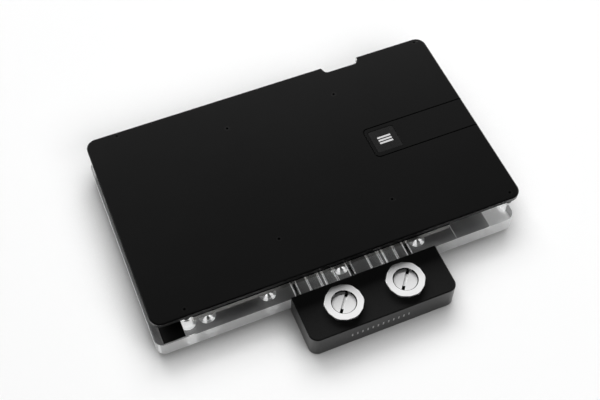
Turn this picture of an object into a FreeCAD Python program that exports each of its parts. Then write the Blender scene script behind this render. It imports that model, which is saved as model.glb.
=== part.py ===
import FreeCAD, Part

import math
import os
import re

import Sketcher

# Full-cover water block, lying with its backplate up.
# X runs along the backplate from its left edge and Y back from its front edge.
# Z runs up from the underside of the terminal.
# The finished pieces are placed about the middle of the outline, with the terminal's underside at Z 0.

SIZES = [
    # backplate
    ("plate_length", 210.0),
    ("plate_depth", 124.5),
    ("plate_thickness", 3.0),
    ("plate_corner", 6.0),
    ("plate_chamfer", 0.6),
    ("notch_left", 144.3),
    ("notch_right", 166.6),
    ("notch_depth", 4.2),
    ("notch_slant", 1.2),
    ("notch_corner", 2.4),
    ("notch_lip", 0.9),
    ("groove_left", 147.0),
    ("groove_front", 52.0),
    ("groove_rear", 73.0),
    ("groove_width", 0.7),
    ("groove_cut", 0.6),
    ("groove_corner", 3.0),
    ("tile_left", 149.3),
    ("tile_side", 15.4),
    ("tile_thickness", 1.0),
    ("tile_drop", 0.1),
    ("tile_corner", 1.2),
    ("tile_chamfer", 0.2),
    ("tile_fit", 0.08),
    # small countersunk screws of the backplate
    ("mid_left", 77.4),
    ("mid_right", 143.1),
    ("mid_front", 24.2),
    ("mid_rear", 103.2),
    ("corner_left", 18.1),
    ("corner_inset", 6.1),
    ("corner_front", 3.9),
    ("corner_rear_inset", 2.7),
    ("small_shank", 2.0),
    ("small_head", 3.6),
    ("small_socket", 1.3),
    ("small_socket_depth", 0.8),
    ("mid_screw_length", 6.0),
    ("corner_screw_length", 5.5),
    ("standoff_diameter", 5.0),
    ("standoff_chamfer", 0.3),
    ("standoff_room", 0.4),
    ("clear_hole", 0.3),
    ("thread_gap", 0.1),
    # cold plate
    ("cold_left", 20.4),
    ("cold_right", 166.9),
    ("cold_front", 0.2),
    ("cold_rear", 110.4),
    ("cold_thickness", 3.4),
    ("cold_corner", 1.5),
    ("boss_diameter", 6.0),
    ("boss_height", 1.6),
    ("die_side", 32.0),
    ("die_height", 0.8),
    ("fin_width", 36.0),
    ("fin_length", 46.0),
    ("fin_depth", 1.9),
    ("fin_thickness", 0.5),
    ("fin_gap", 0.5),
    # clear block
    ("block_overhang", 1.1),
    ("block_inset", 6.8),
    ("block_reach", 7.4),
    ("block_rear", 116.0),
    ("block_height", 10.5),
    ("block_lift", 3.8),
    ("block_corner", 5.0),
    ("block_chamfer", 0.3),
    ("recess_depth", 0.5),
    ("recess_gap", 0.2),
    ("relief_room", 1.4),
    ("cover_left", 2.9),
    ("cover_right", 14.6),
    ("cover_rear", 12.0),
    ("cover_front", 6.8),
    ("cover_thickness", 1.0),
    ("cover_corner", 0.6),
    # water path in the clear block
    ("run_offset", 11.75),
    ("channel_width", 7.5),
    ("channel_rib", 1.6),
    ("channel_height", 4.4),
    ("gallery_front", 9.8),
    ("gallery_rear", 28.0),
    ("gallery_floor", 2.0),
    ("gallery_overlap", 1.6),
    ("feed_left", 80.6),
    ("feed_width", 7.4),
    ("feed_bend", 34.0),
    ("inlet_width", 12.0),
    ("outlet_width", 6.5),
    ("return_left", 131.5),
    ("return_right", 137.0),
    ("jet_thickness", 1.0),
    ("jet_overlap", 0.5),
    ("jet_slot", 2.0),
    ("jet_slot_inset", 1.6),
    ("jet_fit", 0.15),
    # main seal
    ("seal_left", 73.4),
    ("seal_right", 144.6),
    ("seal_front", 7.4),
    ("seal_rear", 94.0),
    ("seal_bend", 5.0),
    ("seal_cord", 1.4),
    ("seal_room", 0.3),
    # screws of the cold plate, from the underside of the clear block
    ("row_first", 28.8),
    ("row_second", 62.4),
    ("row_third_clear", 4.2),
    ("row_fourth_clear", 7.9),
    ("row_inset", 3.6),
    ("large_shank", 3.0),
    ("large_head", 5.7),
    ("large_head_height", 1.6),
    ("large_head_bevel", 0.8),
    ("large_socket", 2.0),
    ("large_socket_depth", 1.1),
    ("counterbore", 6.6),
    ("counterbore_depth", 2.2),
    ("large_reach", 2.4),
    # terminal with its screws, seals and plugs
    ("terminal_left", 71.3),
    ("terminal_length", 82.3),
    ("terminal_depth", 28.1),
    ("terminal_height", 16.0),
    ("terminal_corner", 5.0),
    ("terminal_chamfer", 0.5),
    ("tick_first", 22.0),
    ("tick_pitch", 2.9),
    ("tick_count", 12),
    ("tick_width", 0.8),
    ("tick_height", 2.6),
    ("tick_depth", 0.25),
    ("port_pitch", 34.8),
    ("port_back", 13.4),
    ("port_diameter", 13.16),
    ("port_thread", 5.5),
    ("port_core", 11.4),
    ("collector_depth", 4.0),
    ("duct_width", 7.6),
    ("ring_wall", 0.7),
    ("ring_cord", 1.0),
    ("ring_room", 0.2),
    ("ring_bend", 3.6),
    ("tie_offset", 1.2),
    ("tie_clear", 4.4),
    ("tie_seat", 8.4),
    ("tie_length", 22.0),
    ("tie_head", 5.5),
    ("tie_head_height", 3.0),
    ("tie_socket", 2.5),
    ("tie_room", 0.4),
    ("plug_head", 20.9),
    ("plug_head_height", 1.3),
    ("plug_thread", 5.2),
    ("plug_gap", 0.1),
    ("plug_hollow", 8.0),
    ("plug_web", 3.0),
    ("plug_edge", 0.25),
    ("plug_ring", 12.9),
    ("plug_ring_width", 0.4),
    ("plug_ring_depth", 0.4),
    ("disc_drop", 0.7),
    ("coin_slot", 1.6),
    ("coin_slot_depth", 0.3),
    ("slot_end", 2.8),
    ("slot_end_depth", 1.2),
    ("plug_angle", 52.0),
    ("plug_flats", 20.0),
    ("plug_flats_turn", -15.0),
    ("plug_flats_step", 20.0),
    ("washer_diameter", 16.6),
    ("washer_cord", 1.0),
    ("washer_room", 0.2),
]

VALUE = dict(SIZES)

# Heights and middles, as sums of the sizes above
MIDDLE_X = "(plate_length - block_overhang) / 2"
MIDDLE_Y = "(plate_depth - block_reach - terminal_depth) / 2"
SEAT_Z = "(block_lift + block_height - recess_depth)"
PLATE_Z = "(block_lift + block_height - recess_depth + cold_thickness + boss_height)"
STANDOFF_LENGTH = "(cold_thickness + boss_height - recess_depth)"
DIE_X = "((mid_left + mid_right) / 2)"
DIE_Y = "((mid_front + mid_rear) / 2)"
TIE_Z = "(terminal_height / 2 - block_lift)"
CHANNELS = "(2 * channel_width + channel_rib)"
PORT_LEFT = "(terminal_left + terminal_length / 2 - port_pitch / 2)"
PORT_RIGHT = "(terminal_left + terminal_length / 2 + port_pitch / 2)"
GALLERY_DEPTH = "(block_height - recess_depth - gallery_floor)"
TOP = "(block_height - recess_depth)"
TILE_Y = "((groove_front + groove_rear) / 2)"
CORNER_RIGHT = "(plate_length - corner_inset)"
CORNER_REAR = "(plate_depth - corner_rear_inset)"
RUN_LEFT = "(terminal_left + terminal_length / 2 - port_pitch / 2 - run_offset)"
RUN_RIGHT = "(terminal_left + terminal_length / 2 + port_pitch / 2 - run_offset)"
RUN_LEFT_END = "(%s + %s)" % (RUN_LEFT, CHANNELS)
RUN_RIGHT_END = "(%s + %s)" % (RUN_RIGHT, CHANNELS)
RING_EDGE = "(ring_wall + ring_cord + ring_room / 2)"
BLOCK_RIGHT = "(plate_length - block_inset)"

# Spots of the screws: those of the terminal keep clear of its seals, and two of the row keep clear of those
TIES = {
    "left": "((terminal_left + %s - %s) / 2)" % (RUN_LEFT, RING_EDGE),
    "middle": "((%s + %s) / 2 - tie_offset)" % (RUN_LEFT_END, RUN_RIGHT),
    "right": "(%s + %s + tie_clear)" % (RUN_RIGHT_END, RING_EDGE),
}
ROW = (
    "row_first",
    "row_second",
    TIES["middle"] + " - row_third_clear",
    TIES["right"] + " + row_fourth_clear",
)
MID_SPOTS = [(x, y) for x in ("mid_left", "mid_right") for y in ("mid_front", "mid_rear")]
CORNER_SPOTS = [(x, y) for x in ("corner_left", CORNER_RIGHT) for y in ("corner_front", CORNER_REAR)]
ROW_SPOTS = [(x, y) for x in ROW for y in ("cold_front + row_inset", "cold_rear - row_inset")]
SMALL = 1e-6

os.makedirs("parts", exist_ok=True)
doc = FreeCAD.newDocument("WaterBlock")
sheet = doc.addObject("Spreadsheet::Sheet", "Dims")
for row, (name, size) in enumerate(SIZES, 1):
    sheet.set("A%d" % row, name)
    sheet.set("B%d" % row, str(size))
    sheet.setAlias("B%d" % row, name)
doc.recompute()

SUBPARTS = []


def dims(text):
    """The text with each size's name written as a reference to the sheet."""
    return re.sub(r"[a-z][a-z_]+", lambda m: "Dims." + m[0] if m[0] in VALUE else m[0], text)


def bind(thing, prop, text):
    thing.setExpression(prop, dims(text))


# Sketches: every point and radius is bound to the sheet

def sketch(body, name, plane="XY_Plane", offset="0"):
    made = body.newObject("Sketcher::SketchObject", name)
    base = next(f for f in body.Origin.OriginFeatures if f.Role == plane)
    made.AttachmentSupport = [(base, "")]
    made.MapMode = "FlatFace"
    bind(made, "AttachmentOffset.Base.z", offset)
    return made


def worth(thing, text):
    """The present value of an expression in the sheet's sizes."""
    return float(thing.evalExpression(dims(text)))


def bound(sk, kind, args, text):
    index = sk.addConstraint(Sketcher.Constraint(kind, *args, worth(sk, text)))
    bind(sk, "Constraints[%d]" % index, text)


def fix_point(sk, geometry, end, x, y):
    bound(sk, "DistanceX", (-1, 1, geometry, end), x)
    bound(sk, "DistanceY", (-1, 1, geometry, end), y)


def polygon(sk, points):
    """A closed outline of straight lines through the points."""
    count = len(points)
    turn = 2 * math.pi / count
    start = [FreeCAD.Vector(math.cos(turn * k), math.sin(turn * k), 0) for k in range(count)]
    lines = [sk.addGeometry(Part.LineSegment(start[k], start[(k + 1) % count]), False) for k in range(count)]
    for k in range(count):
        sk.addConstraint(Sketcher.Constraint("Coincident", lines[k], 2, lines[(k + 1) % count], 1))
    for line, (x, y) in zip(lines, points):
        fix_point(sk, line, 1, x, y)


def rectangle(sk, left, front, right, rear):
    polygon(sk, [(left, front), (right, front), (right, rear), (left, rear)])


def circle(sk, x, y, diameter):
    made = sk.addGeometry(Part.Circle(FreeCAD.Vector(1, 1, 0), FreeCAD.Vector(0, 0, 1), 1.0), False)
    fix_point(sk, made, 3, x, y)
    bound(sk, "Radius", (made,), "(%s) / 2" % diameter)


# Features

def new_body(label):
    made = doc.addObject("PartDesign::Body", label)
    made.Label = label
    return made


def pad(body, name, profile, length):
    made = body.newObject("PartDesign::Pad", name)
    made.Profile = profile
    bind(made, "Length", length)
    doc.recompute()
    return made


def pocket(body, name, profile, depth, upward=False):
    made = body.newObject("PartDesign::Pocket", name)
    made.Profile = profile
    made.Reversed = upward
    before = made.BaseFeature.Shape.Volume
    bind(made, "Length", depth)
    doc.recompute()
    if made.Shape.Volume > before - SMALL:
        raise RuntimeError(name + " cuts nothing")
    return made


def revolve(body, name, profile):
    made = body.newObject("PartDesign::Revolution", name)
    made.Profile = profile
    made.ReferenceAxis = (profile, ["V_Axis"])
    made.Angle = 360
    doc.recompute()
    return made


def upright(feature, test):
    """Names of the edges along Z whose place in plan passes the test."""
    names = []
    for k, edge in enumerate(feature.Shape.Edges, 1):
        a, b = edge.Vertexes[0].Point, edge.Vertexes[-1].Point
        if len(edge.Vertexes) == 2 and math.hypot(a.x - b.x, a.y - b.y) < SMALL and test(a.x, a.y):
            names.append("Edge%d" % k)
    return names


def along_depth(feature, test):
    """Names of the edges along Y whose X and Z pass the test."""
    names = []
    for k, edge in enumerate(feature.Shape.Edges, 1):
        a, b = edge.Vertexes[0].Point, edge.Vertexes[-1].Point
        if len(edge.Vertexes) == 2 and math.hypot(a.x - b.x, a.z - b.z) < SMALL and test(a.x, a.z):
            names.append("Edge%d" % k)
    return names


def at_height(feature, height, test):
    """Names of the edges that lie wholly at the height and pass the test."""
    names = []
    for k, edge in enumerate(feature.Shape.Edges, 1):
        box = edge.BoundBox
        if abs(box.ZMin - height) < SMALL and abs(box.ZMax - height) < SMALL and test(box):
            names.append("Edge%d" % k)
    return names


def fillet(body, name, feature, edges, radius):
    made = body.newObject("PartDesign::Fillet", name)
    made.Base = (feature, edges)
    bind(made, "Radius", radius)
    doc.recompute()
    return made


def chamfer(body, name, feature, edges, size):
    made = body.newObject("PartDesign::Chamfer", name)
    made.Base = (feature, edges)
    bind(made, "Size", size)
    doc.recompute()
    return made


def place(thing, x, y, z):
    """Puts a piece drawn in backplate coordinates into the finished frame, moved by x, y and z."""
    bind(thing, "Placement.Base.x", "%s - %s" % (x, MIDDLE_X))
    bind(thing, "Placement.Base.y", "%s - %s" % (y, MIDDLE_Y))
    bind(thing, "Placement.Base.z", z)


def keep(thing):
    SUBPARTS.append(thing)
    return thing


def group(label, pattern, spots):
    """Like fasteners in one node: one copy of the pattern at each spot."""
    copies = []
    for k, (x, y, z) in enumerate(spots):
        copy = doc.addObject("Part::Compound", "%s_%d" % (label, k + 1))
        copy.Links = [pattern]
        place(copy, x, y, z)
        copies.append(copy)
    made = doc.addObject("Part::Compound", label)
    made.Label = label
    made.Links = copies
    return keep(made)


# Backplate with its notch, groove, tile recess and countersunk holes

def backplate():
    body = new_body("backplate")
    outline = sketch(body, "plate_outline")
    polygon(outline, [
        ("0", "0"),
        ("plate_length", "0"),
        ("plate_length", "plate_depth"),
        ("notch_right", "plate_depth"),
        ("notch_right - notch_slant", "plate_depth - notch_depth"),
        ("notch_left + notch_slant", "plate_depth - notch_depth"),
        ("notch_left", "plate_depth"),
        ("0", "plate_depth"),
    ])
    slab = pad(body, "plate_slab", outline, "plate_thickness")
    far = VALUE["plate_length"]
    depth = VALUE["plate_depth"]
    corners = upright(slab, lambda x, y: min(abs(x), abs(x - far)) < SMALL)
    slab = fillet(body, "plate_corners", slab, corners, "plate_corner")
    floor = depth - VALUE["notch_depth"]
    inner = upright(slab, lambda x, y: abs(y - floor) < SMALL)
    slab = fillet(body, "notch_corners", slab, inner, "notch_corner")
    ends = (VALUE["notch_left"], VALUE["notch_right"])
    lips = upright(slab, lambda x, y: abs(y - depth) < SMALL and min(abs(x - e) for e in ends) < SMALL)
    slab = fillet(body, "notch_lips", slab, lips, "notch_lip")
    rim = at_height(slab, VALUE["plate_thickness"], lambda box: True)
    chamfer(body, "plate_rim", slab, rim, "plate_chamfer")

    line = sketch(body, "groove_line", offset="plate_thickness")
    polygon(line, [
        ("plate_length + groove_width", "groove_front"),
        ("groove_left", "groove_front"),
        ("groove_left", "groove_rear"),
        ("plate_length + groove_width", "groove_rear"),
        ("plate_length + groove_width", "groove_rear - groove_width"),
        ("groove_left + groove_width", "groove_rear - groove_width"),
        ("groove_left + groove_width", "groove_front + groove_width"),
        ("plate_length + groove_width", "groove_front + groove_width"),
    ])
    cut = pocket(body, "groove", line, "groove_cut")
    left = VALUE["groove_left"]
    outer = upright(cut, lambda x, y: abs(x - left) < SMALL)
    cut = fillet(body, "groove_outer", cut, outer, "groove_corner")
    island = left + VALUE["groove_width"]
    inner = upright(cut, lambda x, y: abs(x - island) < SMALL)
    fillet(body, "groove_inner", cut, inner, "groove_corner - groove_width")

    seat = sketch(body, "tile_seat", offset="plate_thickness")
    rectangle(seat, "tile_left - tile_fit", TILE_Y + " - tile_side / 2 - tile_fit",
              "tile_left + tile_side + tile_fit", TILE_Y + " + tile_side / 2 + tile_fit")
    cut = pocket(body, "tile_recess", seat, "tile_thickness")
    low = VALUE["tile_left"] - VALUE["tile_fit"]
    high = VALUE["tile_left"] + VALUE["tile_side"] + VALUE["tile_fit"]
    round_edges = upright(cut, lambda x, y: min(abs(x - low), abs(x - high)) < SMALL)
    fillet(body, "tile_recess_corners", cut, round_edges, "tile_corner + tile_fit")

    spots = sketch(body, "screw_spots", offset="plate_thickness")
    for x, y in MID_SPOTS + CORNER_SPOTS:
        circle(spots, x, y, "small_shank + clear_hole")
    doc.recompute()
    holes = body.newObject("PartDesign::Hole", "countersunk_holes")
    holes.Profile = spots
    holes.Threaded = False
    holes.DepthType = "ThroughAll"
    bind(holes, "Diameter", "small_shank + clear_hole")
    holes.HoleCutType = "Countersink"
    holes.HoleCutCustomValues = True
    bind(holes, "HoleCutDiameter", "small_head + thread_gap")
    holes.HoleCutCountersinkAngle = 90
    place(body, "0", "0", PLATE_Z)
    return keep(body)


def emblem_tile():
    body = new_body("emblem_tile")
    outline = sketch(body, "tile_outline")
    rectangle(outline, "tile_left", TILE_Y + " - tile_side / 2",
              "tile_left + tile_side", TILE_Y + " + tile_side / 2")
    slab = pad(body, "tile_slab", outline, "tile_thickness - tile_drop")
    slab = fillet(body, "tile_corners", slab, upright(slab, lambda x, y: True), "tile_corner")
    rim = at_height(slab, VALUE["tile_thickness"] - VALUE["tile_drop"], lambda box: True)
    chamfer(body, "tile_rim", slab, rim, "tile_chamfer")
    place(body, "0", "0", PLATE_Z + " + plate_thickness - tile_thickness")
    return keep(body)


# Screws: a turned blank with a hexagon socket

def hexagon(across, turn="0"):
    """Corners of a hexagon about the origin, one of them turned from the X axis by the turn."""
    corner = "(%s) / sqrt(3)" % across
    angles = ["(%d + %s)" % (60 * k, turn) for k in range(6)]
    return [("%s * cos%s" % (corner, angle), "%s * sin%s" % (corner, angle)) for angle in angles]


def socket(body, name, across, depth, top, upward=False):
    outline = sketch(body, name + "_hexagon", offset=top)
    polygon(outline, hexagon(across))
    pocket(body, name, outline, depth, upward)


def countersunk_screw(name, length):
    """Head face at Z 0, with the shank hanging down from it."""
    body = new_body(name)
    profile = sketch(body, name + "_profile", "XZ_Plane")
    slope = "(small_head - small_shank) / 2"
    polygon(profile, [
        ("0", "0"),
        ("small_head / 2", "0"),
        ("small_shank / 2", "-" + slope),
        ("small_shank / 2", "-(%s)" % length),
        ("0", "-(%s)" % length),
    ])
    revolve(body, name + "_blank", profile)
    socket(body, name + "_socket", "small_socket", "small_socket_depth", "0")
    return body


def backplate_screws():
    middle = countersunk_screw("middle_screw", "mid_screw_length")
    corner = countersunk_screw("corner_screw", "corner_screw_length")
    top = PLATE_Z + " + plate_thickness"
    group("backplate_screws", middle, [(x, y, top) for x, y in MID_SPOTS])
    group("corner_screws", corner, [(x, y, top) for x, y in CORNER_SPOTS])


def corner_standoffs():
    for front, y in (("front", "corner_front"), ("rear", CORNER_REAR)):
        for side, x in (("left", "corner_left"), ("right", CORNER_RIGHT)):
            name = "corner_standoff_%s_%s" % (front, side)
            body = new_body(name)
            ring = sketch(body, name + "_ring")
            circle(ring, "0", "0", "standoff_diameter")
            circle(ring, "0", "0", "small_shank + thread_gap")
            tube = pad(body, name + "_tube", ring, STANDOFF_LENGTH)
            radius = VALUE["standoff_diameter"] / 2
            foot = at_height(tube, 0.0, lambda box: box.XMax > radius - SMALL)
            chamfer(body, name + "_foot", tube, foot, "standoff_chamfer")
            place(body, x, y, PLATE_Z + " - " + STANDOFF_LENGTH)
            keep(body)


# Cold plate: bosses and a raised die face above, fins below

def cold_plate():
    body = new_body("cold_plate")
    outline = sketch(body, "cold_outline")
    rectangle(outline, "cold_left", "cold_front", "cold_right", "cold_rear")
    slab = pad(body, "cold_slab", outline, "cold_thickness")
    fillet(body, "cold_corners", slab, upright(slab, lambda x, y: True), "cold_corner")

    bosses = sketch(body, "boss_circles", offset="cold_thickness")
    for x, y in MID_SPOTS + ROW_SPOTS[:1]:
        circle(bosses, x, y, "boss_diameter")
    pad(body, "bosses", bosses, "boss_height")

    die = sketch(body, "die_square", offset="cold_thickness")
    rectangle(die, DIE_X + " - die_side / 2", DIE_Y + " - die_side / 2",
              DIE_X + " + die_side / 2", DIE_Y + " + die_side / 2")
    pad(body, "die_face", die, "die_height")

    taps = sketch(body, "boss_taps", offset="cold_thickness + boss_height")
    for x, y in MID_SPOTS:
        circle(taps, x, y, "small_shank + thread_gap")
    pocket(body, "boss_threads", taps, "mid_screw_length - plate_thickness + clear_hole")

    holes = sketch(body, "row_taps")
    for x, y in ROW_SPOTS:
        circle(holes, x, y, "large_shank + thread_gap")
    pocket(body, "row_threads", holes, "large_reach + clear_hole", upward=True)

    reliefs = sketch(body, "standoff_reliefs")
    for x, y in CORNER_SPOTS:
        circle(reliefs, x, y, "standoff_diameter + standoff_room")
    pocket(body, "standoff_cuts", reliefs, "cold_thickness", upward=True)

    first = sketch(body, "fin_gap_outline")
    rectangle(first, DIE_X + " - fin_width / 2", DIE_Y + " - fin_length / 2",
              DIE_X + " - fin_width / 2 + fin_gap", DIE_Y + " + fin_length / 2")
    gap = pocket(body, "first_fin_gap", first, "fin_depth", upward=True)
    fins = body.newObject("PartDesign::LinearPattern", "fin_gaps")
    fins.Originals = [gap]
    fins.Direction = (first, ["H_Axis"])
    step = "(fin_gap + fin_thickness)"
    gaps = "floor((fin_width + fin_thickness) / %s)" % step
    bind(fins, "Occurrences", gaps)
    bind(fins, "Length", "(%s - 1) * %s" % (gaps, step))
    body.Tip = fins
    place(body, "0", "0", SEAT_Z)
    return keep(body)


def cold_plate_screws():
    """Drawn with the bearing face at Z 0, the shank up and the head down."""
    body = new_body("row_screw")
    profile = sketch(body, "row_profile", "XZ_Plane")
    length = "(block_height - recess_depth - counterbore_depth + large_reach)"
    polygon(profile, [
        ("0", "-large_head_height"),
        ("large_head / 2 - large_head_bevel", "-large_head_height"),
        ("large_head / 2", "-large_head_height + large_head_bevel"),
        ("large_head / 2", "0"),
        ("large_shank / 2", "0"),
        ("large_shank / 2", length),
        ("0", length),
    ])
    revolve(body, "row_blank", profile)
    socket(body, "row_socket", "large_socket", "large_socket_depth", "-large_head_height", upward=True)
    group("cold_plate_screws", body, [(x, y, "block_lift + counterbore_depth") for x, y in ROW_SPOTS])


# Clear block: the water path is milled into its top face and closed by the cold plate

def clear_block():
    body = new_body("clear_block")
    outline = sketch(body, "block_outline")
    rectangle(outline, "-block_overhang", "-block_reach", BLOCK_RIGHT, "block_rear")
    slab = pad(body, "block_slab", outline, "block_height")
    slab = fillet(body, "block_corners", slab, upright(slab, lambda x, y: True), "block_corner")
    rims = at_height(slab, 0.0, lambda box: True)
    rims += at_height(slab, VALUE["block_height"], lambda box: True)
    chamfer(body, "block_rims", slab, rims, "block_chamfer")

    recess = sketch(body, "recess_outline", offset="block_height")
    rectangle(recess, "cold_left - recess_gap", "-2 * block_reach", "cold_right + recess_gap",
              "cold_rear + recess_gap")
    pocket(body, "cold_recess", recess, "recess_depth")

    ports = sketch(body, "channel_outlines", "XZ_Plane", "block_reach")
    for start_x in (RUN_LEFT, RUN_RIGHT):
        for shift in ("0", "(channel_width + channel_rib)"):
            low = "%s + %s" % (start_x, shift)
            rectangle(ports, low, TIE_Z + " - channel_height / 2",
                      low + " + channel_width", TIE_Z + " + channel_height / 2")
    cut = pocket(body, "port_channels", ports, "block_reach + gallery_front + gallery_overlap")
    low = worth(body, RUN_LEFT) - SMALL
    high = worth(body, RUN_RIGHT_END) + SMALL
    top = worth(body, TOP) - SMALL
    edges = along_depth(cut, lambda x, z: low < x < high and SMALL < z < top)
    fillet(body, "channel_rounding", cut, edges, "channel_height / 2 - clear_hole")

    inlet = sketch(body, "inlet_outline", offset=TOP)
    start = DIE_X + " - fin_width / 2"
    polygon(inlet, [
        (RUN_LEFT, "gallery_front"),
        (RUN_LEFT_END, "gallery_front"),
        (RUN_LEFT_END, "gallery_rear"),
        ("feed_left + feed_width", "feed_bend"),
        ("feed_left + feed_width", DIE_Y + " - inlet_width / 2"),
        (DIE_X + " + fin_width / 2", DIE_Y + " - inlet_width / 2"),
        (DIE_X + " + fin_width / 2", DIE_Y + " + inlet_width / 2"),
        ("feed_left", DIE_Y + " + inlet_width / 2"),
        ("feed_left", "feed_bend"),
        (RUN_LEFT, "gallery_rear"),
    ])
    pocket(body, "inlet_gallery", inlet, GALLERY_DEPTH)

    outlet = sketch(body, "outlet_outline", offset=TOP)
    near = DIE_Y + " - fin_length / 2 + jet_overlap"
    far = DIE_Y + " + fin_length / 2 - jet_overlap"
    polygon(outlet, [
        (RUN_RIGHT, "gallery_front"),
        (RUN_RIGHT_END, "gallery_front"),
        (RUN_RIGHT_END, "gallery_rear"),
        ("return_right", "feed_bend"),
        ("return_right", far + " + outlet_width"),
        (start, far + " + outlet_width"),
        (start, far),
        ("return_left", far),
        ("return_left", near),
        (start, near),
        (start, near + " - outlet_width"),
        (RUN_RIGHT, near + " - outlet_width"),
    ])
    pocket(body, "outlet_gallery", outlet, GALLERY_DEPTH)

    step = sketch(body, "jet_step_outline", offset=TOP)
    rectangle(step, start + " - jet_overlap", near, DIE_X + " + fin_width / 2 + jet_overlap", far)
    pocket(body, "jet_step", step, "jet_thickness")

    groove = sketch(body, "seal_groove_outline", offset=TOP)
    half = "(seal_cord + seal_room) / 2"
    for sign in ("-", "+"):
        back = "+" if sign == "-" else "-"
        rectangle(groove, "seal_left %s %s" % (sign, half), "seal_front %s %s" % (sign, half),
                  "seal_right %s %s" % (back, half), "seal_rear %s %s" % (back, half))
    cut = pocket(body, "seal_groove", groove, "seal_cord")
    for name, sign, back in (("outer", "-", "+"), ("inner", "+", "-")):
        sides = [worth(body, text) for text in ("seal_left " + sign + half, "seal_right " + back + half)]
        edges = upright(cut, lambda x, y: min(abs(x - side) for side in sides) < SMALL)
        cut = fillet(body, "seal_groove_" + name, cut, edges, "seal_bend %s %s" % (back, half))

    cover = sketch(body, "cover_seat_outline", offset="block_height")
    rectangle(cover, "cover_left - tile_fit", "-cover_front - tile_fit",
              "cover_right + tile_fit", "cover_rear + tile_fit")
    pocket(body, "cover_seat", cover, "cover_thickness")

    bores = sketch(body, "row_bores")
    for x, y in ROW_SPOTS:
        circle(bores, x, y, "large_shank + clear_hole")
    for x in ("corner_left", CORNER_RIGHT):
        circle(bores, x, "corner_front", "standoff_diameter + relief_room")
    pocket(body, "through_bores", bores, "block_height", upward=True)
    heads = sketch(body, "row_counterbores")
    for x, y in ROW_SPOTS:
        circle(heads, x, y, "counterbore")
    pocket(body, "counterbores", heads, "counterbore_depth", upward=True)

    ties = sketch(body, "tie_bore_outlines", "XZ_Plane", "block_reach")
    for x in TIES.values():
        circle(ties, x, TIE_Z, "large_shank + clear_hole")
    pocket(body, "tie_bores", ties, "block_reach + tie_seat")
    rooms = sketch(body, "tie_room_outlines")
    for x in TIES.values():
        rectangle(rooms, x + " - tie_head / 2 - tie_room", "tie_seat", x + " + tie_head / 2 + tie_room",
                  "tie_seat + tie_head_height + tie_length + tie_room")
    pocket(body, "tie_rooms", rooms, TIE_Z + " + tie_head / 2 + tie_room", upward=True)
    place(body, "0", "0", "block_lift")
    return keep(body)


def slot_cover():
    body = new_body("slot_cover")
    outline = sketch(body, "cover_outline")
    rectangle(outline, "cover_left", "-cover_front", "cover_right", "cover_rear")
    pad(body, "cover_slab", outline, "cover_thickness")
    place(body, "0", "0", "block_lift + block_height - cover_thickness")
    return keep(body)


def jet_plate():
    body = new_body("jet_plate")
    outline = sketch(body, "jet_outline")
    wide = "(fin_width / 2 + jet_overlap - jet_fit)"
    deep = "(fin_length / 2 - jet_overlap - jet_fit)"
    rectangle(outline, DIE_X + " - " + wide, DIE_Y + " - " + deep, DIE_X + " + " + wide, DIE_Y + " + " + deep)
    pad(body, "jet_slab", outline, "jet_thickness")
    slot = sketch(body, "jet_slot_outline", offset="jet_thickness")
    rectangle(slot, DIE_X + " - fin_width / 2 + jet_slot_inset", DIE_Y + " - jet_slot / 2",
              DIE_X + " + fin_width / 2 - jet_slot_inset", DIE_Y + " + jet_slot / 2")
    pocket(body, "jet_opening", slot, "jet_thickness")
    place(body, "0", "0", SEAT_Z + " - jet_thickness")
    return keep(body)


# Square-cut seals: a square section swept along a rounded rectangle

def cord_seal(label, width, height, bend, cord):
    """Lies flat about its own middle, with the section's middle at Z 0."""
    right = "(%s) / 2" % width
    rear = "(%s) / 2" % height
    body = new_body(label)
    path = sketch(body, label + "_path")
    a, b, r = (worth(path, size) for size in (right, rear, bend))
    corners = [(a - r, b - r, 0), (-a + r, b - r, 1), (-a + r, -b + r, 2), (a - r, -b + r, 3)]
    arcs = []
    for x, y, quarter in corners:
        round_part = Part.Circle(FreeCAD.Vector(x, y, 0), FreeCAD.Vector(0, 0, 1), r)
        start = quarter * math.pi / 2
        arcs.append(path.addGeometry(Part.ArcOfCircle(round_part, start, start + math.pi / 2), False))
    for k in range(4):
        this = path.Geometry[arcs[k]]
        after = path.Geometry[arcs[(k + 1) % 4]]
        line = path.addGeometry(Part.LineSegment(this.EndPoint, after.StartPoint), False)
        path.addConstraint(Sketcher.Constraint("Tangent", arcs[k], 2, line, 1))
        path.addConstraint(Sketcher.Constraint("Tangent", line, 2, arcs[(k + 1) % 4], 1))
        path.addConstraint(Sketcher.Constraint("Horizontal" if k % 2 == 0 else "Vertical", line))
    for k in range(3):
        path.addConstraint(Sketcher.Constraint("Equal", arcs[k], arcs[k + 1]))
    bound(path, "Radius", (arcs[0],), bend)
    fix_point(path, arcs[0], 3, "%s - %s" % (right, bend), "%s - %s" % (rear, bend))
    fix_point(path, arcs[2], 3, "-%s + %s" % (right, bend), "-%s + %s" % (rear, bend))
    section = sketch(body, label + "_section", "YZ_Plane")
    rectangle(section, "%s - %s / 2" % (rear, cord), "-%s / 2" % cord,
              "%s + %s / 2" % (rear, cord), "%s / 2" % cord)
    doc.recompute()
    pipe = body.newObject("PartDesign::AdditivePipe", label + "_pipe")
    pipe.Profile = section
    pipe.Spine = (path, ["Edge%d" % (k + 1) for k in range(8)])
    doc.recompute()
    return body


def main_seal():
    body = cord_seal("main_seal", "seal_right - seal_left", "seal_rear - seal_front",
                     "seal_bend", "seal_cord")
    place(body, "(seal_left + seal_right) / 2", "(seal_front + seal_rear) / 2", SEAT_Z + " - seal_cord / 2")
    return keep(body)


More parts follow.
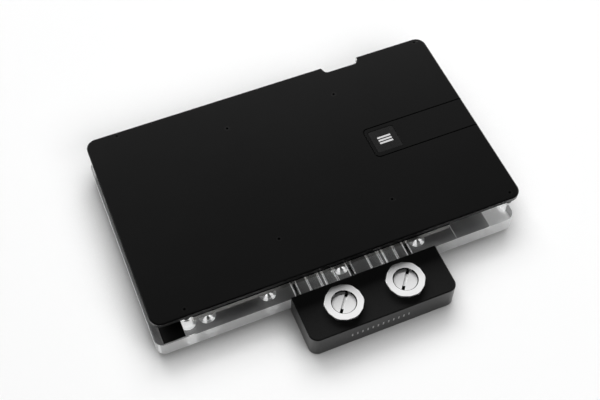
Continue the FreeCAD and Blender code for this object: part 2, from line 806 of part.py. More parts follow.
def terminal_seals():
    reach = "(2 * ring_wall + ring_cord + ring_room)"
    for side, start in (("left", RUN_LEFT), ("right", RUN_RIGHT)):
        body = cord_seal("terminal_seal_" + side, CHANNELS + " + " + reach, "channel_height + " + reach,
                         "(ring_bend - ring_wall)", "ring_cord")
        body.Placement.Rotation = FreeCAD.Rotation(FreeCAD.Vector(1, 0, 0), 90)
        place(body, "%s + %s / 2" % (start, CHANNELS), "-block_reach - ring_cord / 2", "terminal_height / 2")
        keep(body)


# Terminal: two ports right through it, each met by a duct from the clear block

def terminal():
    body = new_body("terminal")
    outline = sketch(body, "terminal_outline")
    rectangle(outline, "terminal_left", "-block_reach - terminal_depth",
              "terminal_left + terminal_length", "-block_reach")
    slab = pad(body, "terminal_slab", outline, "terminal_height")
    front = -VALUE["block_reach"] - VALUE["terminal_depth"]
    ends = upright(slab, lambda x, y: y < front + SMALL)
    slab = fillet(body, "terminal_corners", slab, ends, "terminal_corner")
    rims = at_height(slab, 0.0, lambda box: True)
    rims += at_height(slab, VALUE["terminal_height"], lambda box: True)
    chamfer(body, "terminal_rims", slab, rims, "terminal_chamfer")

    cores = sketch(body, "port_cores")
    upper = sketch(body, "port_uppers", offset="terminal_height")
    lower = sketch(body, "port_lowers")
    for x in (PORT_LEFT, PORT_RIGHT):
        circle(cores, x, "-block_reach - port_back", "port_core")
        circle(upper, x, "-block_reach - port_back", "port_diameter")
        circle(lower, x, "-block_reach - port_back", "port_diameter")
    pocket(body, "port_core_bores", cores, "terminal_height", upward=True)
    pocket(body, "upper_threads", upper, "port_thread")
    pocket(body, "lower_threads", lower, "port_thread", upward=True)

    rings = sketch(body, "ring_groove_outlines", "XZ_Plane", "block_reach")
    back = sketch(body, "collector_outlines", "XZ_Plane", "block_reach")
    ducts = sketch(body, "duct_outlines", "XZ_Plane", "block_reach")
    middle = "terminal_height / 2"
    low = middle + " - channel_height / 2"
    high = middle + " + channel_height / 2"
    near = "ring_wall"
    far = "(ring_wall + ring_cord + ring_room)"
    runs = ((RUN_LEFT, RUN_LEFT_END), (RUN_RIGHT, RUN_RIGHT_END))
    for (start, end), port in zip(runs, (PORT_LEFT, PORT_RIGHT)):
        rectangle(back, start, low, end, high)
        rectangle(ducts, port + " - duct_width / 2", low, port + " + duct_width / 2", high)
        for step in (far, near):
            rectangle(rings, "%s - %s" % (start, step), "%s - %s" % (low, step),
                      "%s + %s" % (end, step), "%s + %s" % (high, step))
    cut = pocket(body, "ring_grooves", rings, "ring_cord", upward=True)
    for name, step, bend in (
        ("ring_groove_outer", far, "ring_bend - ring_wall + (ring_cord + ring_room) / 2"),
        ("ring_groove_inner", near, "ring_bend - ring_wall - (ring_cord + ring_room) / 2"),
    ):
        wide = worth(body, step)
        sides = [worth(body, start) - wide for start, end in runs]
        sides += [worth(body, end) + wide for start, end in runs]
        edges = along_depth(cut, lambda x, z: min(abs(x - side) for side in sides) < SMALL)
        cut = fillet(body, name, cut, edges, bend)
    pocket(body, "collectors", back, "collector_depth", upward=True)
    pocket(body, "ducts", ducts, "port_back", upward=True)
    tick = sketch(body, "tick_outline", "XZ_Plane", "block_reach + terminal_depth")
    rectangle(tick, "terminal_left + tick_first", middle + " - tick_height / 2",
              "terminal_left + tick_first + tick_width", middle + " + tick_height / 2")
    first = pocket(body, "first_tick", tick, "tick_depth")
    ticks = body.newObject("PartDesign::LinearPattern", "ticks")
    ticks.Originals = [first]
    ticks.Direction = (tick, ["H_Axis"])
    bind(ticks, "Occurrences", "tick_count")
    bind(ticks, "Length", "(tick_count - 1) * tick_pitch")
    body.Tip = ticks
    doc.recompute()
    taps = sketch(body, "tie_tap_outlines", "XZ_Plane", "block_reach")
    for x in TIES.values():
        circle(taps, x, middle, "large_shank + thread_gap")
    pocket(body, "tie_taps", taps, "tie_length - block_reach - tie_seat + clear_hole", upward=True)
    place(body, "0", "0", "0")
    return keep(body)


def terminal_screws():
    """Cap screws along Y, each with its head in a room of the clear block."""
    for side, x in TIES.items():
        name = "terminal_screw_" + side
        body = new_body(name)
        profile = sketch(body, name + "_profile", "XZ_Plane")
        polygon(profile, [
            ("0", "-tie_head_height"),
            ("tie_head / 2 - standoff_chamfer", "-tie_head_height"),
            ("tie_head / 2", "-tie_head_height + standoff_chamfer"),
            ("tie_head / 2", "0"),
            ("large_shank / 2", "0"),
            ("large_shank / 2", "tie_length"),
            ("0", "tie_length"),
        ])
        revolve(body, name + "_blank", profile)
        socket(body, name + "_socket", "tie_socket", "tie_head_height / 2", "-tie_head_height", upward=True)
        body.Placement.Rotation = FreeCAD.Rotation(FreeCAD.Vector(1, 0, 0), 90)
        place(body, x, "tie_seat", "terminal_height / 2")
        keep(body)


# Screw plugs of the upper ports: each side of the head is two flats, and the slot is deeper at its ends

def plugs():
    for side, x in (("left", PORT_LEFT), ("right", PORT_RIGHT)):
        name = "plug_" + side
        body = new_body(name)
        profile = sketch(body, name + "_profile", "XZ_Plane")
        thread = "(port_diameter - plug_gap) / 2"
        relief = thread + " - 2 * plug_edge"
        groove_in = "(washer_diameter - washer_cord - washer_room) / 2"
        groove_out = "(washer_diameter + washer_cord + washer_room) / 2"
        ring_in = "(plug_ring - plug_ring_width) / 2"
        ring_out = "(plug_ring + plug_ring_width) / 2"
        disc = "plug_head_height - disc_drop"
        polygon(profile, [
            ("0", "plug_head_height - plug_web"),
            ("plug_hollow / 2", "plug_head_height - plug_web"),
            ("plug_hollow / 2", "-plug_thread"),
            (relief, "-plug_thread"),
            (thread, "-plug_thread + 2 * plug_edge"),
            (thread, "-plug_edge * 4"),
            (relief, "-plug_edge * 4"),
            (relief, "0"),
            (groove_in, "0"),
            (groove_in, "washer_cord - plug_edge"),
            (groove_out, "washer_cord - plug_edge"),
            (groove_out, "0"),
            ("plug_head / 2", "0"),
            ("plug_head / 2", "plug_head_height - plug_edge"),
            ("plug_head / 2 - plug_edge", "plug_head_height"),
            (ring_out, "plug_head_height"),
            (ring_out, disc + " - plug_ring_depth"),
            (ring_in, disc + " - plug_ring_depth"),
            (ring_in, disc),
            ("0", disc),
        ])
        revolve(body, name + "_blank", profile)
        for part, turn in (("first", "plug_flats_turn"), ("second", "plug_flats_turn + plug_flats_step")):
            flats = sketch(body, "%s_%s_outline" % (name, part), offset="plug_head_height")
            circle(flats, "0", "0", "plug_head + plug_hollow")
            polygon(flats, hexagon("plug_flats", turn))
            pocket(body, "%s_%s_flats" % (name, part), flats, "plug_head_height")
        slot = sketch(body, name + "_slot_outline", offset=disc)
        rectangle(slot, "-plug_ring / 2", "-coin_slot / 2", "plug_ring / 2", "coin_slot / 2")
        pocket(body, name + "_slot", slot, "coin_slot_depth")
        ends = sketch(body, name + "_slot_ends", offset=disc)
        rectangle(ends, "-plug_ring / 2", "-coin_slot / 2", "-plug_ring / 2 + slot_end", "coin_slot / 2")
        rectangle(ends, "plug_ring / 2 - slot_end", "-coin_slot / 2", "plug_ring / 2", "coin_slot / 2")
        pocket(body, name + "_end_pockets", ends, "slot_end_depth")
        place(body, x, "-block_reach - port_back", "terminal_height")
        body.Placement.Rotation = FreeCAD.Rotation(FreeCAD.Vector(0, 0, 1), VALUE["plug_angle"])
        keep(body)

        name = "plug_seal_" + side
        ring = new_body(name)
        section = sketch(ring, name + "_section", "XZ_Plane")
        rectangle(section, "(washer_diameter - washer_cord) / 2", "0", "(washer_diameter + washer_cord) / 2",
                  "washer_cord - plug_edge")
        revolve(ring, name + "_turned", section)
        place(ring, x, "-block_reach - port_back", "terminal_height")
        keep(ring)


backplate()
emblem_tile()
backplate_screws()
corner_standoffs()
cold_plate()
cold_plate_screws()
clear_block()
slot_cover()
jet_plate()
main_seal()
terminal()
terminal_seals()
terminal_screws()
plugs()
doc.recompute()

for thing in doc.Objects:
    if "Invalid" in thing.State or "Error" in thing.State:
        raise RuntimeError(thing.Label + " failed: " + str(thing.State))
for thing in SUBPARTS:
    if thing.Shape.isNull() or not thing.Shape.isValid():
        raise RuntimeError(thing.Label + " has no valid shape")
for thing in SUBPARTS:
    thing.Shape.exportStep("parts/%s.step" % thing.Label)
    box = thing.Shape.BoundBox
    print("%-30s solids %2d  volume %9.1f  X %7.2f %7.2f  Y %7.2f %7.2f  Z %6.2f %6.2f" % (
        thing.Label, len(thing.Shape.Solids), thing.Shape.Volume,
        box.XMin, box.XMax, box.YMin, box.YMax, box.ZMin, box.ZMax))
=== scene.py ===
import math

import bmesh
import bpy
from mathutils import Matrix, Vector


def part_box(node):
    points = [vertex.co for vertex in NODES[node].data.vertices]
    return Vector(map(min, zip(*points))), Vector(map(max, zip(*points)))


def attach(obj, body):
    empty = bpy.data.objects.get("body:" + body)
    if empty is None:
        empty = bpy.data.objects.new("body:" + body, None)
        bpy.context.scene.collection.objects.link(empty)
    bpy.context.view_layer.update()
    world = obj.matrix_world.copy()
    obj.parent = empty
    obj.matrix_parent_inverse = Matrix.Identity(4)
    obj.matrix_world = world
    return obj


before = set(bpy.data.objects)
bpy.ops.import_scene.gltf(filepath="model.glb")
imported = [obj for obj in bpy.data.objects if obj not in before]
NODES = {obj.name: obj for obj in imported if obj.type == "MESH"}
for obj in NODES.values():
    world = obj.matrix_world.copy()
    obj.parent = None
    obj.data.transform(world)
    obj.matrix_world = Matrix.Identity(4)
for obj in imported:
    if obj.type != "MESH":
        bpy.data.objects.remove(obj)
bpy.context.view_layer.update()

MM = 0.001


# Helpers for materials

NOISE_LOW = 0.3
NOISE_HIGH = 0.7
WALL_SLOPE = 0.5


def new_material(name):
    """A node material with one Principled shader, and the shader's node."""
    made = bpy.data.materials.new(name)
    made.use_nodes = True
    return made, made.node_tree, made.node_tree.nodes["Principled BSDF"]


def add(tree, kind, **settings):
    """A node with its inputs and properties set by name."""
    node = tree.nodes.new(kind)
    for name, value in settings.items():
        if name in node.inputs:
            node.inputs[name].default_value = value
        else:
            setattr(node, name, value)
    return node


def math_node(tree, operation, first, second=None):
    """The output of a Math node whose inputs are numbers or other nodes' outputs."""
    node = add(tree, "ShaderNodeMath", operation=operation)
    for socket, value in zip(node.inputs, (first, second)):
        if isinstance(value, (int, float)):
            socket.default_value = value
        elif value is not None:
            tree.links.new(value, socket)
    return node.outputs[0]


def distance_to(tree, value, centre):
    return math_node(tree, "ABSOLUTE", math_node(tree, "SUBTRACT", value, centre))


def length_of(tree, first, second):
    """The length of a flat vector from its two parts."""
    squares = [math_node(tree, "MULTIPLY", side, side) for side in (first, second)]
    return math_node(tree, "SQRT", math_node(tree, "ADD", *squares))


def below(tree, value, limit):
    return math_node(tree, "LESS_THAN", value, limit)


def above(tree, value, limit):
    return math_node(tree, "GREATER_THAN", value, limit)


def all_of(tree, *masks):
    """1 where every mask is 1."""
    product = masks[0]
    for mask in masks[1:]:
        product = math_node(tree, "MULTIPLY", product, mask)
    return product


def any_of(tree, *masks):
    """1 where at least one mask is 1."""
    largest = masks[0]
    for mask in masks[1:]:
        largest = math_node(tree, "MAXIMUM", largest, mask)
    return largest


def between(tree, value, low, high):
    return all_of(tree, above(tree, value, low), below(tree, value, high))


def place(tree):
    """Object-space X, Y and Z, which are also the frame's."""
    where = add(tree, "ShaderNodeTexCoord")
    split = add(tree, "ShaderNodeSeparateXYZ")
    tree.links.new(where.outputs["Object"], split.inputs[0])
    return split.outputs


def place_noise(tree, size, detail=3.0):
    """Noise in object space whose features measure about size metres."""
    where = add(tree, "ShaderNodeTexCoord")
    noise = add(tree, "ShaderNodeTexNoise", Scale=1 / size, Detail=detail)
    tree.links.new(where.outputs["Object"], noise.inputs["Vector"])
    return noise.outputs["Fac"]


def spread(tree, value, low, high, start=NOISE_LOW, end=NOISE_HIGH):
    """The value, spread from its range start to end over the range low to high."""
    node = add(tree, "ShaderNodeMapRange")
    node.inputs["From Min"].default_value = start
    node.inputs["From Max"].default_value = end
    node.inputs["To Min"].default_value = low
    node.inputs["To Max"].default_value = high
    tree.links.new(value, node.inputs["Value"])
    return node.outputs["Result"]


def choose(tree, mask, plain, masked):
    """One number where the mask is 0 and another where it is 1."""
    return spread(tree, mask, plain, masked, 0.0, 1.0)


def bump(tree, shader, height, depth):
    node = add(tree, "ShaderNodeBump", Strength=1.0, Distance=depth)
    tree.links.new(height, node.inputs["Height"])
    tree.links.new(node.outputs["Normal"], shader.inputs["Normal"])


def grey(value):
    return (value, value, value)


def tint(tree, shader, value, dark, light, mask=None, masked=grey(0)):
    """A colour between dark and light by the value, and another one where the mask is 1."""
    ramp = add(tree, "ShaderNodeValToRGB")
    stops = ramp.color_ramp.elements
    for stop, position, colour in zip(stops, (NOISE_LOW, NOISE_HIGH), (dark, light)):
        stop.position = position
        stop.color = (*colour, 1)
    tree.links.new(value, ramp.inputs["Fac"])
    result = ramp.outputs["Color"]
    if mask is not None:
        mix = add(tree, "ShaderNodeMixRGB", Color2=(*masked, 1))
        tree.links.new(mask, mix.inputs["Fac"])
        tree.links.new(result, mix.inputs["Color1"])
        result = mix.outputs["Color"]
    tree.links.new(result, shader.inputs["Base Color"])


def upright(tree):
    """1 on walls and 0 on level faces."""
    surface = add(tree, "ShaderNodeNewGeometry")
    split = add(tree, "ShaderNodeSeparateXYZ")
    tree.links.new(surface.outputs["True Normal"], split.inputs[0])
    return below(tree, math_node(tree, "ABSOLUTE", split.outputs[2]), WALL_SLOPE)


# Finishes of black pieces, bright metal and paint

BROAD_PATCH = 40 * MM
BROAD_DETAIL = 2.0
PAINT_GRAIN = 0.2 * MM
PAINT_DEPTH = 0.003 * MM
PAINT_ROUGH = (0.35, 0.5)
PAINT_SHADE = 0.9


def black_finish(name, dark, light, rough, specular, grain, depth, wall_tone=None):
    """Matt black with a fine grain, and paler on upright walls where a value is given for them."""
    made, tree, shader = new_material(name)
    fine = place_noise(tree, grain)
    broad = place_noise(tree, BROAD_PATCH, BROAD_DETAIL)
    if wall_tone is None:
        tint(tree, shader, broad, grey(dark), grey(light))
    else:
        tint(tree, shader, broad, grey(dark), grey(light), upright(tree), grey(wall_tone))
    tree.links.new(spread(tree, fine, *rough), shader.inputs["Roughness"])
    shader.inputs["Specular IOR Level"].default_value = specular
    bump(tree, shader, fine, depth)
    return made


def metal_finish(name, dark, light, rough, grain, depth):
    """Bare or plated metal with fine tool marks."""
    made, tree, shader = new_material(name)
    fine = place_noise(tree, grain)
    tint(tree, shader, fine, dark, light)
    shader.inputs["Metallic"].default_value = 1.0
    tree.links.new(spread(tree, fine, *rough), shader.inputs["Roughness"])
    bump(tree, shader, fine, depth)
    return made


def inlay_paint(name, value):
    made, tree, shader = new_material(name)
    fine = place_noise(tree, PAINT_GRAIN)
    tint(tree, shader, fine, grey(value * PAINT_SHADE), grey(value))
    tree.links.new(spread(tree, fine, *PAINT_ROUGH), shader.inputs["Roughness"])
    bump(tree, shader, fine, PAINT_DEPTH)
    return made


# Finish of the screw plugs: turning rings, and painted shade in the groove and at the slot ends of the head

PLUG_RING_PITCH = 0.55 * MM
PLUG_RING_SHARE = 0.5
PLUG_GRAIN = 0.18 * MM
PLUG_DARK = 0.93
PLUG_LIGHT = 0.98
PLUG_PAINTED_SHADE = 0.01
PLUG_ROUGH = (0.56, 0.64)
PLUG_MARK_RANGE = (-0.2, 1.2)
PLUG_MARK_DEPTH = 0.003 * MM
# How far the disc inside the groove lies below the rim
DISC_DROP = 0.7 * MM
# The radii of the groove's painted shade, how far it goes below the disc, and the directions in degrees where
# it is left off for painted highlights
RING_IN = 6.2 * MM
RING_OUT = 6.72 * MM
RING_DEEP = 0.6 * MM
RING_PAINTED_HIGHLIGHTS = (119.0, 42.0)
RING_BREAK_COSINE = 0.991
# The slot's ends that get painted shade, from just below its floor, as depths below the disc
POCKET_HIGH = 0.45 * MM
POCKET_LOW = 1.3 * MM


def turned_finish(name, node):
    """Satin metal with the fine rings that a lathe leaves about the node's own axis."""
    made, tree, shader = new_material(name)
    low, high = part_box(node)
    x, y, z = place(tree)
    across = math_node(tree, "SUBTRACT", x, (low[0] + high[0]) / 2)
    along = math_node(tree, "SUBTRACT", y, (low[1] + high[1]) / 2)
    radius = length_of(tree, across, along)
    rings = math_node(tree, "SINE", math_node(tree, "MULTIPLY", radius, 2 * math.pi / PLUG_RING_PITCH))
    fine = place_noise(tree, PLUG_GRAIN)
    marks = math_node(tree, "ADD", math_node(tree, "MULTIPLY", rings, PLUG_RING_SHARE), fine)
    disc = high[2] - DISC_DROP
    # Painted shade: the groove and the slot's end pockets get a near-black colour for the shade in them, left
    # off in the groove at painted highlights
    in_groove = between(tree, z, disc - RING_DEEP, high[2] + RING_DEEP)
    groove_painted_shade = all_of(tree, between(tree, radius, RING_IN, RING_OUT), in_groove)
    for angle in RING_PAINTED_HIGHLIGHTS:
        turned = math_node(
            tree,
            "ADD",
            math_node(tree, "MULTIPLY", across, math.cos(math.radians(angle))),
            math_node(tree, "MULTIPLY", along, math.sin(math.radians(angle))),
        )
        outside = below(tree, turned, math_node(tree, "MULTIPLY", radius, RING_BREAK_COSINE))
        groove_painted_shade = all_of(tree, groove_painted_shade, outside)
    in_pocket = between(tree, z, disc - POCKET_LOW, disc - POCKET_HIGH)
    pockets_painted_shade = all_of(tree, below(tree, radius, RING_OUT), in_pocket)
    painted_shade = any_of(tree, groove_painted_shade, pockets_painted_shade)
    tint(tree, shader, fine, grey(PLUG_DARK), grey(PLUG_LIGHT), painted_shade, grey(PLUG_PAINTED_SHADE))
    shader.inputs["Metallic"].default_value = 1.0
    tree.links.new(spread(tree, marks, *PLUG_ROUGH, *PLUG_MARK_RANGE), shader.inputs["Roughness"])
    bump(tree, shader, marks, PLUG_MARK_DEPTH)
    return made


# Finish of the clear block

# The frame's origin (PLATE_MIDDLE) and the bores' axes, measured from the backplate's front left corner
PLATE_MIDDLE = Vector((104.45, 44.5)) * MM
BORE_X = [x * MM - PLATE_MIDDLE.x for x in (18.1, 28.8, 62.4, 103.6, 148.8, 203.9)]
BORE_Y = [y * MM - PLATE_MIDDLE.y for y in (3.8, 106.8)]
BORE_REACH = 3.4 * MM
# A bore's wall stays polished near the top and the underside, and the outer walls get no painted glow
POLISHED_SKIN = 0.55 * MM
OUTER_SKIN = 1.0 * MM
# A satin pad round each bore on the underside, and a satin end of the underside at the right
PAD_REACH = 4.7 * MM
PAD_SKIN = 0.05 * MM
SATIN_END = 85.2 * MM
# Painted glow: emission for the light that the acrylic carries to frosted places; bores and pads have darker
# and lighter spokes of painted glow, the outermost ones are light all round, and a negative value takes
# painted glow away
PAINTED_GLOW = 0.24
SPOKE_START = math.radians(34)
SPOKE_RATE = 5.5
SPOKE_PAINTED_DIM = -0.22
SPOKE_PAINTED_GLOW = 0.25
PLAIN_BORES = 85.0 * MM
SATIN_PAINTED_DIM = -0.09
# Surface
HAZE_PATCH = 12 * MM
HAZE_DETAIL = 2.0
HAZE_ROUGH = (0.0, 0.03)
FROST_GRAIN = 0.2 * MM
FROST_ROUGH = (0.35, 0.5)
FROST_CLEAR = 0.35
POLISHED_CLEAR = 0.94
ACRYLIC_TINT = (0.985, 0.99, 0.99, 1)
ACRYLIC_IOR = 1.49


def clear_acrylic():
    """Polished above and below, and frosted where it is milled, which is where a painted glow stands for
    piped light.
    """
    made, tree, shader = new_material("clear_acrylic")
    low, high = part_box("clear_block")
    x, y, z = place(tree)
    nearest = []
    for value, centres in ((x, BORE_X), (y, BORE_Y)):
        gap = distance_to(tree, value, centres[0])
        for centre in centres[1:]:
            gap = math_node(tree, "MINIMUM", gap, distance_to(tree, value, centre))
        nearest.append(gap)
    radius = length_of(tree, *nearest)
    height = distance_to(tree, z, (low[2] + high[2]) / 2)
    inside = below(tree, height, (high[2] - low[2]) / 2 - POLISHED_SKIN)
    underside = below(tree, z, low[2] + PAD_SKIN)
    pad = all_of(tree, below(tree, radius, PAD_REACH), underside)
    bore = any_of(tree, all_of(tree, below(tree, radius, BORE_REACH), inside), pad)
    satin = all_of(tree, underside, above(tree, x, SATIN_END))
    frosted = any_of(tree, upright(tree), bore, satin)
    haze = spread(tree, place_noise(tree, HAZE_PATCH, HAZE_DETAIL), *HAZE_ROUGH)
    scratch = spread(tree, place_noise(tree, FROST_GRAIN), *FROST_ROUGH)
    rough = math_node(tree, "MAXIMUM", haze, math_node(tree, "MULTIPLY", frosted, scratch))
    tree.links.new(rough, shader.inputs["Roughness"])
    clear = choose(tree, frosted, POLISHED_CLEAR, FROST_CLEAR)
    tree.links.new(clear, shader.inputs["Transmission Weight"])
    shader.inputs["Base Color"].default_value = ACRYLIC_TINT
    shader.inputs["IOR"].default_value = ACRYLIC_IOR
    within = all_of(
        tree,
        frosted,
        between(tree, x, low[0] + OUTER_SKIN, high[0] - OUTER_SKIN),
        between(tree, y, low[1] + OUTER_SKIN, high[1] - OUTER_SKIN),
    )
    angle = math_node(tree, "SUBTRACT", math_node(tree, "ARCTAN2", *nearest), SPOKE_START)
    turned = math_node(tree, "COSINE", math_node(tree, "MULTIPLY", angle, SPOKE_RATE))
    plain = above(tree, math_node(tree, "ABSOLUTE", x), PLAIN_BORES)
    spokes = any_of(tree, above(tree, turned, 0.0), plain)
    spoke_painted_glow = math_node(tree, "MULTIPLY", bore, choose(tree, spokes, SPOKE_PAINTED_DIM, SPOKE_PAINTED_GLOW))
    painted_glow = math_node(tree, "ADD", PAINTED_GLOW, spoke_painted_glow)
    painted_glow = math_node(tree, "ADD", painted_glow, math_node(tree, "MULTIPLY", satin, SATIN_PAINTED_DIM))
    # Painted glow: white emission in frosted places within the outer walls
    shader.inputs["Emission Color"].default_value = (1, 1, 1, 1)
    tree.links.new(math_node(tree, "MULTIPLY", within, painted_glow), shader.inputs["Emission Strength"])
    return made


# Camera: place, aim and roll come from the backplate's edges in the photograph

CAMERA_AT = Vector((-121.9, -275.9, 469.6)) * MM
CAMERA_AIM = Vector((-7.5, -1.9, 21.8)) * MM
CAMERA_ROLL = 0.213
CAMERA_LENS = 59.83
CAMERA_NEAR = 0.01
SENSOR = 36.0


def aimed(at, way):
    """A matrix that puts something at a point and turns its back, its +Z, along a direction."""
    return Matrix.Translation(at) @ way.to_track_quat("Z", "Y").to_matrix().to_4x4()


def add_camera():
    data = bpy.data.cameras.new("camera")
    data.lens = CAMERA_LENS
    data.sensor_width = SENSOR
    data.sensor_fit = "HORIZONTAL"
    data.clip_start = CAMERA_NEAR
    camera = bpy.data.objects.new("camera", data)
    bpy.context.scene.collection.objects.link(camera)
    roll = Matrix.Rotation(math.radians(CAMERA_ROLL), 4, "Z")
    camera.matrix_world = aimed(CAMERA_AT, CAMERA_AT - CAMERA_AIM) @ roll
    bpy.context.scene.camera = camera


# Light: a dim world that the camera sees as white, a low strip behind, and soft boxes for the floor

WORLD_GREY = 0.06
LAMPS = [
    # name, azimuth and elevation in degrees, distance, width, height, watts, what it lights
    ("back_strip", 84.0, 16.5, 1.0, 1.6, 0.2, 38.0, "object"),
    ("floor_top", 74.0, 68.0, 2.6, 3.0, 3.2, 54.0, "floor"),
    ("floor_back", 76.0, 45.0, 3.2, 3.0, 1.6, 42.0, "floor"),
    ("floor_front", -76.0, 36.0, 3.2, 3.0, 1.6, 56.0, "floor"),
]


def add_world():
    """White to the camera and through the clear block, and a dim grey as a light."""
    world = bpy.data.worlds.new("studio")
    world.use_nodes = True
    tree = world.node_tree
    sky = tree.nodes["Background"]
    sky.inputs["Color"].default_value = (*grey(WORLD_GREY), 1)
    white = add(tree, "ShaderNodeBackground", Color=(1, 1, 1, 1), Strength=1.0)
    path = add(tree, "ShaderNodeLightPath")
    direct = below(tree, path.outputs["Diffuse Depth"], 1.0)
    through = all_of(tree, path.outputs["Is Transmission Ray"], direct)
    seen = any_of(tree, path.outputs["Is Camera Ray"], through)
    mix = add(tree, "ShaderNodeMixShader")
    for source, socket in zip((seen, sky.outputs[0], white.outputs[0]), mix.inputs):
        tree.links.new(source, socket)
    tree.links.new(mix.outputs[0], tree.nodes["World Output"].inputs["Surface"])
    bpy.context.scene.world = world


def add_lights(receivers):
    for name, azimuth, elevation, distance, width, height, watts, target in LAMPS:
        data = bpy.data.lights.new(name, "AREA")
        data.shape = "RECTANGLE"
        data.size = width
        data.size_y = height
        data.energy = watts
        lamp = bpy.data.objects.new(name, data)
        bpy.context.scene.collection.objects.link(lamp)
        flat = math.cos(math.radians(elevation))
        way = Vector((
            flat * math.cos(math.radians(azimuth)),
            flat * math.sin(math.radians(azimuth)),
            math.sin(math.radians(elevation)),
        ))
        lamp.matrix_world = aimed(way * distance, way)
        lamp.light_linking.receiver_collection = receivers[target]


def light_groups(floor, pieces):
    """Collections that say what a lamp lights."""
    groups = {}
    for name, members in (("floor", [floor]), ("object", pieces)):
        group = bpy.data.collections.new("lit_" + name)
        for member in members:
            group.objects.link(member)
        groups[name] = group
    return groups


# Floor

FLOOR_WHITE = 0.9
# Painted shadow: share of the white that is left where the object covers the floor, and how open it is there
# and outside
FLOOR_PAINTED_SHADOW = 0.52
FLOOR_OPEN = (0.4, 0.88)
FLOOR_REACH = 60 * MM
FLOOR_SAMPLES = 12
FLOOR_ROUGH = 0.9
FLOOR_HALF = 1.0
FLOOR_LEVEL = -0.02 * MM
FLOOR_CORNERS = ((-1, -1), (1, -1), (1, 1), (-1, 1))


def floor_with_painted_shadow():
    """White that keeps the shadow, with painted shadow from ambient occlusion where the object stands close
    over it, and clear from below.
    """
    made, tree, shader = new_material("floor_with_painted_shadow")
    # Painted shadow: ambient occlusion darkens the floor's colour near the object
    sky = add(tree, "ShaderNodeAmbientOcclusion", samples=FLOOR_SAMPLES, Distance=FLOOR_REACH)
    white = spread(tree, sky.outputs["AO"], FLOOR_WHITE * FLOOR_PAINTED_SHADOW, FLOOR_WHITE, *FLOOR_OPEN)
    tree.links.new(white, shader.inputs["Base Color"])
    shader.inputs["Roughness"].default_value = FLOOR_ROUGH
    shader.inputs["Specular IOR Level"].default_value = 0.0
    surface = add(tree, "ShaderNodeNewGeometry")
    front = math_node(tree, "SUBTRACT", 1.0, surface.outputs["Backfacing"])
    tree.links.new(front, shader.inputs["Alpha"])
    return made


def add_floor():
    mesh = bpy.data.meshes.new("floor")
    form = bmesh.new()
    form.faces.new([form.verts.new((x * FLOOR_HALF, y * FLOOR_HALF, FLOOR_LEVEL)) for x, y in FLOOR_CORNERS])
    form.to_mesh(mesh)
    form.free()
    floor = bpy.data.objects.new("floor", mesh)
    bpy.context.scene.collection.objects.link(floor)
    mesh.materials.append(floor_with_painted_shadow())
    return floor


# Materials of the CAD pieces

BLACKS = {
    # finish: dark, light, roughness, specular, grain, depth of the grain, tone of upright walls
    "black_anodised": (0.005, 0.006, (0.2, 0.24), 0.36, 0.25 * MM, 0.002 * MM, 0.038),
    "black_steel": (0.004, 0.006, (0.22, 0.28), 0.36, 0.2 * MM, 0.002 * MM),
    "black_plastic": (0.003, 0.005, (0.4, 0.55), 0.4, 0.2 * MM, 0.004 * MM),
    "terminal_plastic": (0.0075, 0.0085, (0.27, 0.33), 0.5, 0.3 * MM, 0.002 * MM),
    "tile_gloss": (0.006, 0.009, (0.22, 0.3), 0.5, 0.3 * MM, 0.002 * MM),
    "seal_rubber": (0.01, 0.02, (0.6, 0.75), 0.3, 0.3 * MM, 0.01 * MM),
}
METALS = {
    # finish: dark, light, roughness, grain, depth of the grain
    "nickel": ((0.62, 0.61, 0.59), (0.74, 0.73, 0.71), (0.16, 0.26), 0.3 * MM, 0.0008 * MM),
    "bright_steel": (grey(0.6), grey(0.75), (0.2, 0.32), 0.2 * MM, 0.002 * MM),
    "jet_steel": (grey(0.5), grey(0.62), (0.25, 0.35), 0.3 * MM, 0.002 * MM),
}
DRESS = {
    # node: finish
    "backplate": "black_anodised",
    "emblem_tile": "tile_gloss",
    "slot_cover": "black_plastic",
    "terminal": "terminal_plastic",
    "cold_plate": "nickel",
    "cold_plate_screws": "bright_steel",
    "jet_plate": "jet_steel",
}


def dress_nodes():
    """Gives every CAD piece its finish: rubber for the seals, and black steel where nothing else is named."""
    finishes = {name: black_finish(name, *values) for name, values in BLACKS.items()}
    for name, values in METALS.items():
        finishes[name] = metal_finish(name, *values)
    fitted = {
        "clear_block": clear_acrylic(),
        "plug_left": turned_finish("plug_metal_painted_shade_left", "plug_left"),
        "plug_right": turned_finish("plug_metal_painted_shade_right", "plug_right"),
    }
    for name, node in NODES.items():
        usual = "seal_rubber" if "seal" in name else "black_steel"
        finish = fitted.get(name) or finishes[DRESS.get(name, usual)]
        node.data.materials.clear()
        node.data.materials.append(finish)


# Pieces added to the CAD model

SLAB_FACES = ((0, 2, 3, 1), (4, 5, 7, 6), (0, 1, 5, 4), (2, 6, 7, 3), (0, 4, 6, 2), (1, 3, 7, 5))


def slab(form, low, high):
    """A box between two corners, added to the mesh in the making."""
    corners = []
    for z in (low[2], high[2]):
        for y in (low[1], high[1]):
            corners += [form.verts.new((x, y, z)) for x in (low[0], high[0])]
    for face in SLAB_FACES:
        form.faces.new([corners[k] for k in face])


def piece(name, form, finish):
    """The finished mesh as an object that rides on the root body."""
    bmesh.ops.recalc_face_normals(form, faces=form.faces[:])
    mesh = bpy.data.meshes.new(name)
    form.to_mesh(mesh)
    form.free()
    mesh.materials.append(finish)
    made = bpy.data.objects.new(name, mesh)
    bpy.context.scene.collection.objects.link(made)
    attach(made, "root")
    return made


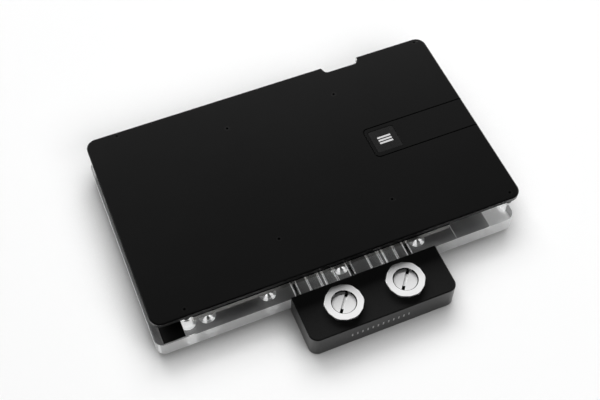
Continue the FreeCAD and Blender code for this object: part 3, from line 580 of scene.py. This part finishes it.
BAR_WIDE = 8.0 * MM
BAR_DEEP = 1.15 * MM
BAR_STEP = 1.9 * MM
BAR_HIGH = 0.06 * MM
BAR_SINK = 0.02 * MM
BAR_PAINT = 0.8


def tile_bars():
    """Three plain bars in the middle of the square tile, where the real one carries a mark."""
    low, high = (Vector(corner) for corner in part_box("emblem_tile"))
    middle = (low + high) / 2
    form = bmesh.new()
    for k in (-1, 0, 1):
        y = middle.y + k * BAR_STEP
        slab(
            form,
            (middle.x - BAR_WIDE / 2, y - BAR_DEEP / 2, high.z - BAR_SINK),
            (middle.x + BAR_WIDE / 2, y + BAR_DEEP / 2, high.z + BAR_HIGH),
        )
    return piece("tile_bars", form, inlay_paint("bar_paint", BAR_PAINT))


TICK_FIRST = 22.0 * MM
TICK_PITCH = 2.9 * MM
TICK_COUNT = 12
TICK_WIDE = 0.8 * MM
TICK_HIGH = 2.6 * MM
TICK_DEEP = 0.25 * MM
TICK_FIT = 0.02 * MM
TICK_RECESS = 0.05 * MM
TICK_PAINT = 0.55


def terminal_ticks():
    """Pale filling in the row of equal slots on the terminal's front face."""
    low, high = (Vector(corner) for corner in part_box("terminal"))
    middle = (low.z + high.z) / 2
    half = TICK_HIGH / 2 - TICK_FIT
    form = bmesh.new()
    for k in range(TICK_COUNT):
        left = low.x + TICK_FIRST + k * TICK_PITCH
        slab(
            form,
            (left + TICK_FIT, low.y + TICK_RECESS, middle - half),
            (left + TICK_WIDE - TICK_FIT, low.y + TICK_DEEP - TICK_FIT, middle + half),
        )
    return piece("terminal_ticks", form, inlay_paint("tick_paint", TICK_PAINT))


# Scene

BOUNCES = 32

scene = bpy.context.scene
scene.view_settings.view_transform = "Standard"
scene.cycles.max_bounces = BOUNCES
scene.cycles.glossy_bounces = BOUNCES
scene.cycles.transmission_bounces = BOUNCES
scene.cycles.transparent_max_bounces = BOUNCES

add_camera()
add_world()
dress_nodes()
added = [tile_bars(), terminal_ticks()]
add_lights(light_groups(add_floor(), list(NODES.values()) + added))

bpy.context.view_layer.update()
